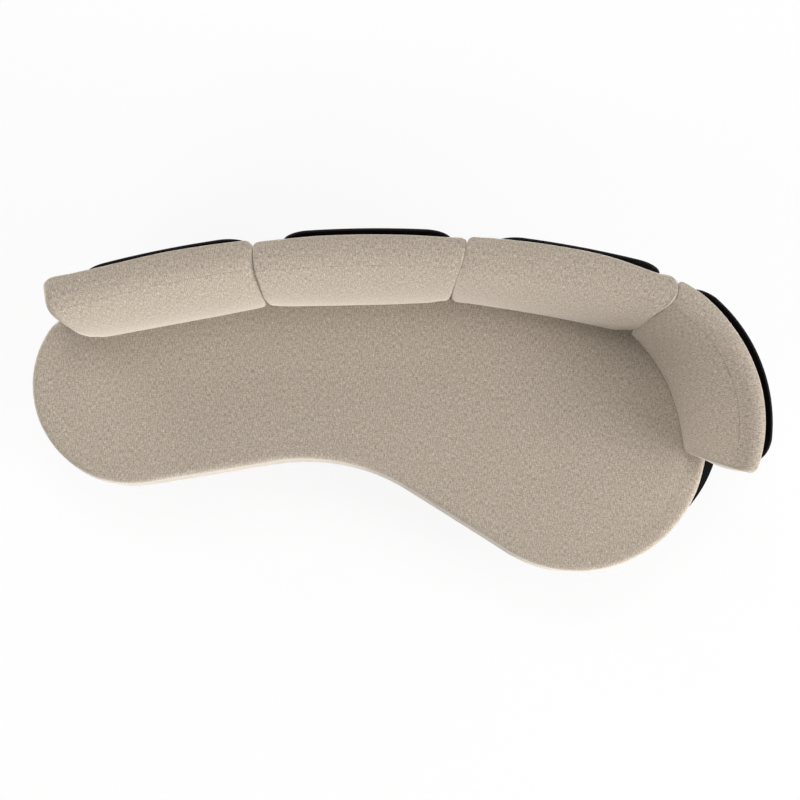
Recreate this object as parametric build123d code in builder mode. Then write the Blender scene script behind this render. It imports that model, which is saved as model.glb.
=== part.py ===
"""Curved outdoor sofa: a bean-shaped seat on a low metal deck, with four leaning back panels.

The deck's outline is a belt round five circles: a long rear arc, a tight right rear corner, a large
right lobe, a hollow waist and a smaller left lobe.  The back panels stand on its rear edge and lean
outwards as slices of cones.  One seat cushion and four back cushions lie loose on the deck.

Millimetres, +Z up, +Y towards the back.  The origin is on the floor, midway in width and depth.
"""

import os
from math import atan2, ceil, copysign, cos, degrees, hypot, radians, sin, sqrt, tan

from build123d import *

# Heights, from the floor up
GLIDE_PAD_HEIGHT = 12.0
LEG_HEIGHT = 135.0
TUBE = 40.0
DECK_THICKNESS = 5.0
SEAT_HEIGHT = 205.0
BACK_HEIGHT = 345.0
PANEL_HEIGHT = 480.0

# Plan of the deck and of the seat: circle centres and radii
REAR_RADIUS = 4600.0
REAR_CENTRE_X = -54.0
REAR_EDGE_Y = 666.0
CORNER_RADIUS = 615.0
CORNER_ANGLE = 75.8
DECK_LEFT_CORNER_RADIUS = 150.0
DECK_LEFT_CORNER_ANGLE = 108.0
LEFT_SHOULDER = (-1553.7, 351.1)
LEFT_SHOULDER_ANGLE = 146.0
LEFT_LOBE_RADIUS = 458.0
RIGHT_LOBE = (843.0, -168.0)
RIGHT_LOBE_RADIUS = 591.0
WAIST = (-385.0, -1123.0)
WAIST_RADIUS = 872.0
SEAT_LEFT_CORNER_RADIUS = 130.0
SEAT_REAR_RADIUS = 4400.0
SEAT_SIDE_SETBACK = 78.0
SEAT_OVERHANG = 25.0

# Metal frame
TUBE_WALL = 3.0
RAIL_SETBACK = 20.0
RAIL_WIDTH = 25.0
BEAM_POSITIONS = (-1150.0, -450.0, 250.0, 900.0)
LEG_SETBACK = 150.0
LEG_TOP_WIDTH = 60.0
LEG_FOOT_WIDTH = 44.0
PAD_WIDTH = 38.0
PAD_CHAMFER = 2.0
WELD_GAP = 0.2
SLOT_ROW_SETBACKS = (250.0, 500.0)
SLOT_SPACING = 290.0
SLOT_LENGTH = 90.0
SLOT_WIDTH = 10.0

# Back panels and the feet that hold them to the deck
PANEL_THICKNESS = 8.0
PANEL_LEAN_ANGLE = 12.0
PANEL_MARGIN = 6.0
PANEL_CORNER_RADIUS = 120.0
PANEL_SPAN_ANGLES = ((96.9, 105.9), (86.1, 95.1), (74.8, 83.8), (-14.0, 57.0))
FOOT_WIDTH = 70.0
FOOT_THICKNESS = 6.0
FOOT_RISE = 110.0
FOOT_REACH = 40.0
FOOT_SETBACK = 150.0
BOLT_RADIUS = 5.0
BOLT_LENGTH = 27.0
BOLT_HOLE_DEPTH = 20.0
BOLT_HEAD_ACROSS = 16.0
BOLT_HEAD_HEIGHT = 6.4
BOLT_CLEARANCE = 0.3
THREAD_CLEARANCE = 0.08

# Cushions
SOFT_GAP = 0.3
SEAT_EDGE = (
    (0.0, 36.0),
    (14.0, 15.0),
    (55.0, 1.0),
    (120.0, 1.0),
    (168.0, 16.0),
    (193.0, 46.0),
    (205.0, 115.0),
)
BACK_SPAN_ANGLES = ((96.65, 107.5), (85.72, 96.45), (74.6, 85.55), (-18.6, 64.6))
BACK_END_TURN_ANGLES = ((0.0, 8.0), (-11.0, 0.0), (-18.0, -11.0), (0.0, -8.5))
BACK_DEPTHS = (224.0, 240.0, 221.0, 287.0)
BACK_TOP_DEPTHS = (133.0, 136.0, 156.0, 115.0)
BACK_TOP_LEANS = (72.0, 62.0, 76.0, 60.0)
BACK_FRONT_CROWNS = (16.0, 18.0, 4.0, 58.0)
BACK_PIVOT_DEPTH = 80.0
FRONT_SWELL = 16.0
TOP_SWELL = 9.0
BACK_CORNERS = (24.0, 34.0, 30.0)
BACK_ENDS = ((0.0, 22.0), (17.0, 3.0))
BACK_STEP = 400.0
BACK_STEP_ANGLE = 16.0

LEG_TOP = GLIDE_PAD_HEIGHT + LEG_HEIGHT
DECK_BOTTOM = LEG_TOP + TUBE
DECK_TOP = DECK_BOTTOM + DECK_THICKNESS
SEAT_BOTTOM = DECK_TOP + SOFT_GAP
SEAT_TOP = SEAT_BOTTOM + SEAT_HEIGHT
BACK_BOTTOM = SEAT_TOP + SOFT_GAP
BOLT_SETBACK = RAIL_SETBACK + RAIL_WIDTH / 2
UP = (0, 0, 1)
# Circles of a belt whose joining line is shorter than this share of their distance touch each other
TOUCHING = 1e-9


class Round:
    """A circle that an outline follows: turn is +1 where it bulges out and -1 where it hollows in."""

    def __init__(self, centre, radius, turn=1):
        self.x, self.y = centre
        self.radius = radius
        self.turn = turn

    def inset(self, distance):
        return Round((self.x, self.y), self.radius - self.turn * distance, self.turn)

    def at(self, bearing, radius=None):
        """The point at a bearing, in degrees anticlockwise from +X, on this circle or on a concentric one."""
        reach = self.radius if radius is None else radius
        return (self.x + reach * cos(radians(bearing)), self.y + reach * sin(radians(bearing)))

    def bearing(self, point):
        return degrees(atan2(point[1] - self.y, point[0] - self.x))

    def axis(self):
        return Axis((self.x, self.y, 0), UP)

    def upright(self, bearing):
        """The upright plane through the axis: its x is the distance from the axis and its y the height."""
        out = (cos(radians(bearing)), sin(radians(bearing)), 0)
        return Plane((self.x, self.y, 0), x_dir=out, z_dir=(out[1], -out[0], 0))


def passing(point, radius, bearing):
    """The circle that passes through a point, which lies at a bearing from its centre."""
    back, aside = radius * cos(radians(bearing)), radius * sin(radians(bearing))
    return Round((point[0] - back, point[1] - aside), radius)


def touching_inside(outer, radius, bearing):
    """The smaller circle that touches outer from inside at a bearing."""
    return Round(outer.at(bearing, outer.radius - radius), radius)


def touching_both(first, second, radius):
    """The large circle of that radius that holds both circles and touches each, with its centre in front."""
    a, b = radius - first.radius, radius - second.radius
    dx, dy = second.x - first.x, second.y - first.y
    apart = hypot(dx, dy)
    along = (a * a - b * b + apart * apart) / (2 * apart)
    aside = sqrt(a * a - along * along)
    return Round(
        (first.x + (along * dx + aside * dy) / apart, first.y + (along * dy - aside * dx) / apart), radius
    )


def joint_points(first, second):
    """Where the line that leaves one circle of a belt and reaches the next touches each of them."""
    dx, dy = second.x - first.x, second.y - first.y
    apart = hypot(dx, dy)
    lengthwise = (first.turn * first.radius - second.turn * second.radius) / apart
    if abs(lengthwise) > 1 - TOUCHING:
        lengthwise = copysign(1, lengthwise)
    across = sqrt(1 - lengthwise * lengthwise)
    nx = (dy * across + dx * lengthwise) / apart
    ny = (-dx * across + dy * lengthwise) / apart
    leave, reach = first.turn * first.radius, second.turn * second.radius
    return (first.x + leave * nx, first.y + leave * ny), (second.x + reach * nx, second.y + reach * ny)


def draw_belt(rounds, first=0, count=None):
    """Draws a belt's arcs, each with the line that follows it: all of them, or count circles from first on.

    Returns the two ends of what was drawn.
    """
    size = len(rounds)
    start = joint_points(rounds[first - 1], rounds[first])[1]
    entry = start
    for step in range(size if count is None else count):
        here, after = rounds[(first + step) % size], rounds[(first + step + 1) % size]
        leave, arrive = joint_points(here, after)
        sweep = here.turn * (here.bearing(leave) - here.bearing(entry)) % 360
        CenterArc((here.x, here.y), here.radius, here.bearing(entry), here.turn * sweep)
        if hypot(arrive[0] - leave[0], arrive[1] - leave[1]) > SOFT_GAP:
            Line(leave, arrive)
        entry = arrive
    return start, entry


REAR = Round((REAR_CENTRE_X, REAR_EDGE_Y - REAR_RADIUS), REAR_RADIUS)
CORNER = touching_inside(REAR, CORNER_RADIUS, CORNER_ANGLE)
DECK_LEFT_CORNER = touching_inside(REAR, DECK_LEFT_CORNER_RADIUS, DECK_LEFT_CORNER_ANGLE)
SEAT_LEFT_LOBE = passing(LEFT_SHOULDER, LEFT_LOBE_RADIUS, LEFT_SHOULDER_ANGLE)
SEAT_RIGHT_LOBE = Round(RIGHT_LOBE, RIGHT_LOBE_RADIUS)
SEAT_WAIST = Round(WAIST, WAIST_RADIUS, -1)
SEAT_CORNER = CORNER.inset(SEAT_SIDE_SETBACK)
SEAT_LEFT_CORNER = passing(LEFT_SHOULDER, SEAT_LEFT_CORNER_RADIUS, LEFT_SHOULDER_ANGLE)
SEAT_REAR = touching_both(SEAT_LEFT_CORNER, SEAT_CORNER, SEAT_REAR_RADIUS)

DECK_BELT = (
    REAR,
    DECK_LEFT_CORNER,
    SEAT_LEFT_LOBE.inset(SEAT_OVERHANG),
    SEAT_WAIST.inset(SEAT_OVERHANG),
    SEAT_RIGHT_LOBE.inset(SEAT_OVERHANG),
    CORNER,
)
SEAT_BELT = (SEAT_REAR, SEAT_LEFT_CORNER, SEAT_LEFT_LOBE, SEAT_WAIST, SEAT_RIGHT_LOBE, SEAT_CORNER)
# The edge that each panel and back cushion stands along
BACK_EDGES = (REAR, REAR, REAR, CORNER)


def inset_belt(belt, distance):
    return [edge.inset(distance) for edge in belt]


def arc_degrees(length, radius):
    return degrees(length / radius)


def panel_inner_radius(edge, height):
    """Radius of a panel's inner face at a height above the floor."""
    lean = radians(PANEL_LEAN_ANGLE)
    return edge.radius - PANEL_MARGIN - PANEL_THICKNESS / cos(lean) + (height - DECK_TOP) * tan(lean)


def foot_bearings(number):
    """Bearings of the middles of a panel's two feet."""
    edge = BACK_EDGES[number]
    low, high = PANEL_SPAN_ANGLES[number]
    setback = arc_degrees(FOOT_SETBACK, edge.radius)
    return low + setback, high - setback


def foot_bolt_points(number):
    """Where a panel's two feet are bolted: over the middle of the rail."""
    edge = BACK_EDGES[number]
    return [edge.at(bearing, edge.radius - BOLT_SETBACK) for bearing in foot_bearings(number)]


BOLT_POINTS = [point for number in range(len(BACK_EDGES)) for point in foot_bolt_points(number)]


def finish(part, name):
    part.part.label = name
    export_step(part.part, f"parts/{name}.step")
    return part.part


def make_deck():
    """Flat plate with drain slots in two rows along the rear arc, and bolt holes for the back feet."""
    slots = []
    for setback in SLOT_ROW_SETBACKS:
        radius = REAR_RADIUS - setback
        pitch = arc_degrees(SLOT_SPACING, radius)
        first = CORNER_ANGLE + pitch / 2
        for step in range(int((DECK_LEFT_CORNER_ANGLE - first) / pitch) + 1):
            bearing = first + step * pitch
            x, y = REAR.at(bearing, radius)
            if min(abs(x - beam) for beam in BEAM_POSITIONS) > (TUBE + SLOT_LENGTH) / 2:
                slots.append(Location((x, y, 0), (0, 0, bearing - 90)))
    with BuildPart() as deck:
        with BuildSketch(Plane.XY.offset(DECK_BOTTOM)):
            with BuildLine():
                draw_belt(DECK_BELT)
            make_face()
            with Locations(*slots):
                Rectangle(SLOT_LENGTH, SLOT_WIDTH, mode=Mode.SUBTRACT)
            with Locations(*BOLT_POINTS):
                Circle(BOLT_RADIUS + BOLT_CLEARANCE, mode=Mode.SUBTRACT)
        extrude(amount=DECK_THICKNESS)
    return finish(deck, "deck_plate")


def make_rail(name, first, count):
    """A bar on edge, rolled along one run of the deck's outline, with blind tapped holes for the feet."""
    outer_belt = inset_belt(DECK_BELT, RAIL_SETBACK)
    inner_belt = inset_belt(DECK_BELT, RAIL_SETBACK + RAIL_WIDTH)
    with BuildPart() as rail:
        with BuildSketch(Plane.XY.offset(LEG_TOP)):
            with BuildLine():
                outer_start, outer_end = draw_belt(outer_belt, first, count)
                inner_start, inner_end = draw_belt(inner_belt, first, count)
                Line(outer_start, inner_start)
                Line(outer_end, inner_end)
            make_face()
        extrude(amount=TUBE)
        with BuildSketch(Plane.XY.offset(DECK_BOTTOM)):
            with Locations(*BOLT_POINTS):
                Circle(BOLT_RADIUS + THREAD_CLEARANCE)
        extrude(amount=-BOLT_HOLE_DEPTH, mode=Mode.SUBTRACT)
    return finish(rail, name)


def make_beam(number, x):
    """A straight square tube across the frame, its ends cut to the curve of the rails."""
    with BuildPart() as beam:
        with BuildSketch(Plane.XZ):
            with Locations((x, LEG_TOP + TUBE / 2)):
                Rectangle(TUBE, TUBE)
                Rectangle(TUBE - 2 * TUBE_WALL, TUBE - 2 * TUBE_WALL, mode=Mode.SUBTRACT)
        extrude(amount=REAR_RADIUS / 2, both=True)
        with BuildSketch(Plane.XY.offset(LEG_TOP)):
            with BuildLine():
                draw_belt(inset_belt(DECK_BELT, RAIL_SETBACK + RAIL_WIDTH + WELD_GAP))
            make_face()
        extrude(amount=TUBE, mode=Mode.INTERSECT)
    ends = finish(beam, f"cross_beam_{number}").bounding_box()
    return (x, ends.min.Y + LEG_SETBACK), (x, ends.max.Y - LEG_SETBACK)


def make_leg(number, x, y):
    """A short square leg, tapered both ways, welded under a beam and standing on a plastic pad."""
    front = Plane((x, y, 0), x_dir=(1, 0, 0), z_dir=(0, -1, 0))
    side = Plane((x, y, 0), x_dir=(0, 1, 0), z_dir=(1, 0, 0))
    with BuildPart() as leg:
        for plane, mode in ((front, Mode.ADD), (side, Mode.INTERSECT)):
            with BuildSketch(plane):
                with BuildLine():
                    Polyline(
                        (-LEG_FOOT_WIDTH / 2, GLIDE_PAD_HEIGHT),
                        (LEG_FOOT_WIDTH / 2, GLIDE_PAD_HEIGHT),
                        (LEG_TOP_WIDTH / 2, LEG_TOP),
                        (-LEG_TOP_WIDTH / 2, LEG_TOP),
                        close=True,
                    )
                make_face()
            extrude(amount=LEG_TOP_WIDTH / 2, both=True, mode=mode)
    finish(leg, f"leg_{number}")
    with BuildPart() as pad:
        with BuildSketch(Plane((x, y, 0))):
            Rectangle(PAD_WIDTH, PAD_WIDTH)
        extrude(amount=GLIDE_PAD_HEIGHT)
        chamfer(pad.faces().sort_by(Axis.Z)[0].edges(), PAD_CHAMFER)
    finish(pad, f"floor_pad_{number}")


def panel_corner_plane(edge, bearing, side, radius, height):
    """The plane on a panel's outer face at a top corner: x runs in from the end and y up the lean."""
    lean = radians(PANEL_LEAN_ANGLE)
    along = Vector(-sin(radians(bearing)), cos(radians(bearing)), 0)
    out = Vector(cos(radians(bearing)), sin(radians(bearing)), 0) * cos(lean) - Vector(UP) * sin(lean)
    return Plane((*edge.at(bearing, radius), height), x_dir=along * side, z_dir=out * side)


def make_panel(number):
    """A sheet rolled to a slice of a cone that leans outwards, with round top corners."""
    edge = BACK_EDGES[number]
    low, high = PANEL_SPAN_ANGLES[number]
    lean = radians(PANEL_LEAN_ANGLE)
    outer = edge.radius - PANEL_MARGIN
    top = (outer + PANEL_HEIGHT * tan(lean), DECK_TOP + PANEL_HEIGHT)
    past = PANEL_THICKNESS
    with BuildPart() as panel:
        with BuildSketch(edge.upright(low)):
            with BuildLine():
                Polyline(
                    (outer, DECK_TOP),
                    top,
                    (top[0] - PANEL_THICKNESS * cos(lean), top[1] + PANEL_THICKNESS * sin(lean)),
                    (panel_inner_radius(edge, DECK_TOP), DECK_TOP),
                    close=True,
                )
            make_face()
        revolve(axis=edge.axis(), revolution_arc=high - low)
        for bearing, side in ((low, 1), (high, -1)):
            with BuildSketch(panel_corner_plane(edge, bearing, side, *top)):
                with BuildLine():
                    CenterArc((PANEL_CORNER_RADIUS, -PANEL_CORNER_RADIUS), PANEL_CORNER_RADIUS, 90, 90)
                    Polyline(
                        (PANEL_CORNER_RADIUS, 0),
                        (PANEL_CORNER_RADIUS, past),
                        (-past, past),
                        (-past, -PANEL_CORNER_RADIUS),
                        (0, -PANEL_CORNER_RADIUS),
                    )
                make_face()
            extrude(amount=PANEL_CORNER_RADIUS / 2, both=True, mode=Mode.SUBTRACT)
    return finish(panel, f"back_panel_{number + 1}")


def make_feet(number):
    """Two bent angles inside a panel's lower edge: one leg is welded to the panel, the other bolted down."""
    edge = BACK_EDGES[number]
    lean = radians(PANEL_LEAN_ANGLE)
    rolled = panel_inner_radius(edge, DECK_TOP)
    # the flat angle touches the rolled panel along its two upright edges
    heel = rolled - WELD_GAP - FOOT_WIDTH * FOOT_WIDTH / (8 * rolled)
    top = (heel + FOOT_RISE * sin(lean), DECK_TOP + FOOT_RISE * cos(lean))
    throat = DECK_TOP + FOOT_THICKNESS
    with BuildPart() as feet:
        for middle in foot_bearings(number):
            with BuildSketch(edge.upright(middle)):
                with BuildLine():
                    Polyline(
                        (heel, DECK_TOP),
                        top,
                        (top[0] - FOOT_THICKNESS * cos(lean), top[1] + FOOT_THICKNESS * sin(lean)),
                        (heel - FOOT_THICKNESS / cos(lean) + FOOT_THICKNESS * tan(lean), throat),
                        (heel - FOOT_REACH, throat),
                        (heel - FOOT_REACH, DECK_TOP),
                        close=True,
                    )
                make_face()
            extrude(amount=FOOT_WIDTH / 2, both=True)
        with BuildSketch(Plane.XY.offset(DECK_TOP)):
            with Locations(*foot_bolt_points(number)):
                Circle(BOLT_RADIUS + BOLT_CLEARANCE)
        extrude(amount=FOOT_THICKNESS, mode=Mode.SUBTRACT)
    return finish(feet, f"back_feet_{number + 1}")


def make_bolts():
    """Hex bolts down through feet and deck into the rails."""
    with BuildPart() as bolts:
        with BuildSketch(Plane.XY.offset(DECK_TOP + FOOT_THICKNESS)):
            with Locations(*BOLT_POINTS):
                RegularPolygon(BOLT_HEAD_ACROSS / 2, 6, major_radius=False)
        extrude(amount=BOLT_HEAD_HEIGHT)
        with BuildSketch(Plane.XY.offset(DECK_TOP + FOOT_THICKNESS)):
            with Locations(*BOLT_POINTS):
                Circle(BOLT_RADIUS)
        extrude(amount=-BOLT_LENGTH)
    finish(bolts, "back_foot_bolts")


def make_seat():
    """The seat cushion: the seat's outline lofted up through a soft, crowned edge."""
    with BuildPart() as seat:
        for height, distance in SEAT_EDGE:
            with BuildSketch(Plane.XY.offset(SEAT_BOTTOM + height)):
                with BuildLine():
                    draw_belt(inset_belt(SEAT_BELT, distance))
                make_face()
        loft(ruled=True)
    finish(seat, "seat_cushion")


def back_corner_points(number, share):
    """The four corners of a back cushion's section, as (radius, height).

    They run from the front of its foot, up the front, and round. share goes from -1 to 1 along the cushion.
    """
    edge = BACK_EDGES[number]
    rear_foot = panel_inner_radius(edge, BACK_BOTTOM) - SOFT_GAP
    front_foot = rear_foot - BACK_DEPTHS[number] + BACK_FRONT_CROWNS[number] * share * share
    rear_top = edge.radius + BACK_TOP_LEANS[number]
    front_top = rear_top - BACK_TOP_DEPTHS[number]
    top = BACK_BOTTOM + BACK_HEIGHT
    return (front_foot, BACK_BOTTOM), (front_top, top), (rear_top, top), (rear_foot, BACK_BOTTOM)


def shrunk(points, distance):
    """The four-cornered section with each side moved inwards by the distance."""
    lines = []
    for (ax, ay), (bx, by) in zip(points, (*points[1:], points[0])):
        length = hypot(bx - ax, by - ay)
        nx, ny = (by - ay) / length, (ax - bx) / length
        lines.append((nx, ny, nx * ax + ny * ay + distance))
    corners = []
    for (a, b, c), (d, e, f) in zip((lines[-1], *lines[:-1]), lines):
        spread = a * e - b * d
        corners.append(((c * e - b * f) / spread, (a * f - c * d) / spread))
    return corners


def back_stations(number):
    """Where a back cushion's sections lie, as (bearing from its middle, how far the section is drawn in)."""
    edge = BACK_EDGES[number]
    low, high = BACK_SPAN_ANGLES[number]
    half = (high - low) / 2
    ends = [(half - arc_degrees(inward, edge.radius), inset) for inward, inset in BACK_ENDS]
    reach = ends[-1][0]
    steps = ceil(2 * reach / min(BACK_STEP_ANGLE, arc_degrees(BACK_STEP, edge.radius)))
    between = [(reach * (2 * step / steps - 1), 0.0) for step in range(1, steps)]
    return [(-offset, inset) for offset, inset in ends] + between + ends[::-1]


def back_section_plane(number, offset, half):
    """A section's upright plane, turned away from the radius towards an end that meets its neighbour askew.

    Its origin lies at the pivot's radius. Returns the plane, that radius and the stretch across the section.
    """
    edge = BACK_EDGES[number]
    low, high = BACK_SPAN_ANGLES[number]
    share = offset / half
    turn = BACK_END_TURN_ANGLES[number][0 if share < 0 else 1] * share * share
    bearing = (low + high) / 2 + offset
    pivot = edge.radius - BACK_PIVOT_DEPTH
    out = (cos(radians(bearing + turn)), sin(radians(bearing + turn)), 0)
    plane = Plane((*edge.at(bearing, pivot), 0), x_dir=out, z_dir=(out[1], -out[0], 0))
    return plane, pivot, 1 / cos(radians(turn))


def make_back(number):
    """A back cushion that stands on the seat and leans on its panel, swollen, with drawn-in ends."""
    low, high = BACK_SPAN_ANGLES[number]
    half = (high - low) / 2
    with BuildPart() as cushion:
        for offset, inset in back_stations(number):
            plane, pivot, stretch = back_section_plane(number, offset, half)
            corners = shrunk(back_corner_points(number, offset / half), inset)
            foot, ridge, crest, heel = [((radius - pivot) * stretch, height) for radius, height in corners]
            with BuildSketch(plane) as section:
                with BuildLine():
                    SagittaArc(foot, ridge, FRONT_SWELL)
                    SagittaArc(ridge, crest, TOP_SWELL)
                    Polyline(crest, heel, foot)
                make_face()
                for corner, radius in zip((foot, ridge, crest), BACK_CORNERS):
                    fillet(section.vertices().sort_by_distance(corner)[0], radius)
        loft(ruled=True)
    finish(cushion, f"back_cushion_{number + 1}")


def main():
    os.makedirs("parts", exist_ok=True)
    make_deck()
    # each rail follows a run of the belt's circles, given by the first one and their number
    for name, first, count in (("rear", 0, 1), ("left", 1, 2), ("front", 3, 1), ("right", 4, 2)):
        make_rail(f"rail_{name}", first, count)
    legs = []
    for number, x in enumerate(BEAM_POSITIONS, 1):
        legs += make_beam(number, x)
    for number, (x, y) in enumerate(legs, 1):
        make_leg(number, x, y)
    make_bolts()
    for number in range(len(BACK_EDGES)):
        make_panel(number)
        make_feet(number)
        make_back(number)
    make_seat()


main()
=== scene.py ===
"""Looks of a curved outdoor sofa: woven covers on a seat and four back cushions, over a black metal frame.

Metres, +Z up, +Y towards the back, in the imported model's own frame.
"""

from math import atan2, cos, degrees, hypot, pi, radians, sin
from typing import NamedTuple

import bmesh
import bpy
import numpy as np
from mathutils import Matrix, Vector, noise
from mathutils.bvhtree import BVHTree
from mathutils.kdtree import KDTree


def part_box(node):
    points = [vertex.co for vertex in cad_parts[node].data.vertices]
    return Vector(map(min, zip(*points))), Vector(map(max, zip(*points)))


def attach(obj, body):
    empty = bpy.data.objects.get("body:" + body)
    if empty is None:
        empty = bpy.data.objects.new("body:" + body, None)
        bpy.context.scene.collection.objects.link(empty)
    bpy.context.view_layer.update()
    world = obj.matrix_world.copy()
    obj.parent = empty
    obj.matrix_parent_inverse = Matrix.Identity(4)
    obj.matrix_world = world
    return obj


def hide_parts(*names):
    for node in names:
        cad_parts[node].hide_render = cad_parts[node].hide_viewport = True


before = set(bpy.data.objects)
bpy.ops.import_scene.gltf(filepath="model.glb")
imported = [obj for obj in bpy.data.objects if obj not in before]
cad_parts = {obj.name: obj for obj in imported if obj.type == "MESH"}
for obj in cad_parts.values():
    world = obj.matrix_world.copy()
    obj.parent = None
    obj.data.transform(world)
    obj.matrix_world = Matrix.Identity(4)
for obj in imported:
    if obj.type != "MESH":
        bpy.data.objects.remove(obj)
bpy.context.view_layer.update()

# Digits and distances within which points count as one or as lying on a plane, and a length safe to divide by
MERGE_DIGITS = 6
MERGE_DISTANCE = 1e-5
ON_PLANE = 1e-4
TINY = 1e-9


class End(NamedTuple):
    """An end's filling: its reach past the solid, the bulge of its middle, its lean at the foot, how far the crest
    flares there (or, below 0, how far the whole rear is drawn in), the rounding of its edges and, seen from above, of
    its front and rear corners, and its crown."""
    reach: float = 0.0
    bulge: float = 0.0
    lean: float = 0.0
    flare: float = 0.0
    edge: float = 0.016
    corner: float = 0.026
    rear_corner: float = 0.028
    crown: float = 0.0


class Back(NamedTuple):
    """A back cushion: its arc, its ends, how far its foot (at each end) and its crest are filled out, and its belly."""
    axis: tuple
    radius: float
    ends: tuple
    foot_reach: tuple
    crest_reach: float
    belly: float


# Axes of the two arcs that the back cushions stand along, and the circle that their sections turn on
REAR_AXIS = (-0.054, -3.934)
REAR_PIVOT_RADIUS = 4.520
CORNER_AXIS = (0.92356, -0.07075)
CORNER_PIVOT_RADIUS = 0.535
# Each cushion's ends and foot are given at the lower and then at the higher bearing along its arc
BACKS = {
    "back_cushion_1": Back(REAR_AXIS, REAR_PIVOT_RADIUS, (
        End(reach=0.0077, bulge=-0.006, lean=0.007, edge=0.006, corner=0.030, rear_corner=0.042),
        End(bulge=0.024, lean=-0.009, flare=0.016, edge=0.026, corner=0.034, rear_corner=0.034, crown=0.008)),
        (0.024, 0.002), 0.012, 0.020),
    "back_cushion_2": Back(REAR_AXIS, REAR_PIVOT_RADIUS, (
        End(reach=0.0065, bulge=0.003, lean=-0.003, edge=0.006, corner=0.028),
        End(reach=0.0077, bulge=0.006, lean=-0.007, edge=0.006, corner=0.030, rear_corner=0.034)),
        (0.006, 0.009), 0.009, 0.018),
    "back_cushion_3": Back(REAR_AXIS, REAR_PIVOT_RADIUS, (
        End(reach=0.0055, bulge=0.024, lean=-0.010, flare=-0.026, edge=0.007, corner=0.030, rear_corner=0.046),
        End(reach=0.0065, bulge=-0.003, lean=0.003, edge=0.006, corner=0.034, rear_corner=0.034)),
        (0.014, 0.004), 0.009, 0.010),
    "back_cushion_4": Back(CORNER_AXIS, CORNER_PIVOT_RADIUS, (
        End(reach=0.006, bulge=0.006, edge=0.022, corner=0.020, rear_corner=0.020, crown=0.008),
        End(reach=0.0055, bulge=-0.024, lean=0.010, flare=0.016, edge=0.007, corner=0.012, rear_corner=0.012)),
        (0.020, 0.012), -0.001, 0.0),
}
# Depth in a section at which an end bulges most, how far that goes to either side, and how far along the cushion;
# the depths between which an end leans, and how far along the cushion the crest's flare goes
BULGE_MIDDLE = 0.045
BULGE_HALF = 0.115
END_FADE = 0.110
LEAN_DEPTHS = (0.0, -0.110)
FLARE_FADE = 0.300
# How the ridge is softened: passes of smoothing, and how many cells they reach to either side
RIDGE_PASSES = 110
RIDGE_REACH = 20

# Back cushions: cells of the cover's mesh, the slices that its sections are read from, the steps round an end's edge,
# how full the foam is, the points that an outline is read at, how many rings short of an end the ridge's seam stops,
# and the degree of the curves that fair the sections
BACK_CELL = 0.0105
BACK_HIGH_CELLS = 36
BACK_DEEP_CELLS = 18
BACK_SLICES = 25
BACK_SLICE_MARGIN = 0.03
BACK_END_STEPS = 5
SECTION_STEPS = 2400
SEAM_STOP = 3
FAIRING_DEGREE = 4
# How far a face has to point along the arc to belong to a solid's end, and the rounds of the search for its bearing
END_FACING = 0.8
BEARING_ROUNDS = 30
# Vertices at rest: those that face down more than this, and those within this height of the foot
FACING_DOWN = -0.15
RESTING_HEIGHT = 0.002
# Directions, in a section, that point out of its four corners: foot, ridge, crest and heel
SECTION_CORNERS = ((-0.93, -0.64), (-0.93, 1.36), (0.98, 0.79), (0.98, -1.21))
# Where a section is filled out: (depth, height) at which the filling is full, and at which it has faded
FOOT_FULL = (-0.10, 0.42)
FOOT_FADED = (0.03, 0.72)
CREST_FULL = (0.13, 0.735)
CREST_FADED = (0.05, 0.66)

# Seat cushion: size of its mesh's cells, how they are smoothed, how far outside the solid the cover lies, the parts
# that rest, how firmly the rest is held, how full the foam is, the height of the sewn seam round its side, and how far
# a face points up or down for the weave to lie flat on it
SEAT_VOXEL = 0.019
SEAT_SMOOTHING = 5
SMOOTHING_FACTOR = 0.5
SEAT_FULLNESS = 0.007
SEAT_FACING_DOWN = -0.3
SEAT_RESTING_HEIGHT = 0.004
SEAT_GRIP = 0.3
SEAT_SEAM_RISE = 0.052
LEVEL_FACING = 0.5
# Its rim, as it is filled: how far in from the side it goes, the radius of its roll, how far in from the solid's side
# and above its top the corner is that it rounds, how far the side leans in for each metre up to there, the length over
# which the filling fades, the room looked for beside it, and the reach over which that room is evened out
RIM_REACH = 0.130
RIM_RADIUS = 0.026
RIM_CORNER = (0.0175, 0.0070)
RIM_LEAN = 0.228
RIM_FADE = 0.045
RIM_ROOM = 0.030
RIM_EVENING = 0.025
OUTLINE_STEPS = 6000

# Swelling under the filling's pressure, as cloth, with how far it may go and how far it is drawn in beforehand
SWELL_FRAMES = 20
SWELL_PRESSURE = 4.0
CLOTH_QUALITY = 5
CLOTH_MASS = 0.3
CLOTH_STRETCH = 12
CLOTH_SHEAR = 5
CLOTH_BENDING = 0.8
BACK_SWELL_CAP = 0.010
SEAT_SWELL_CAP = 0.008
ROOM_SHARE = 0.45
FINISH_ROOM = 0.004
DRAW_IN = 0.004

# Seams (with the weight at which a vertex belongs to one) and the unevenness of a filled cover
SEAM_DEPTH = 0.0007
SEAM_REACH = 0.012
FULL_WEIGHT = 0.99
CREVICE_HALF = 0.0016
CREVICE_DEPTH = 0.0024
PUCKER_DEPTH = 0.0009
PUCKER_REACH = 0.030
PUCKER_LENGTH = 0.022
WANDER_HEIGHT = 0.0012
WANDER_LENGTH = 0.16

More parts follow.
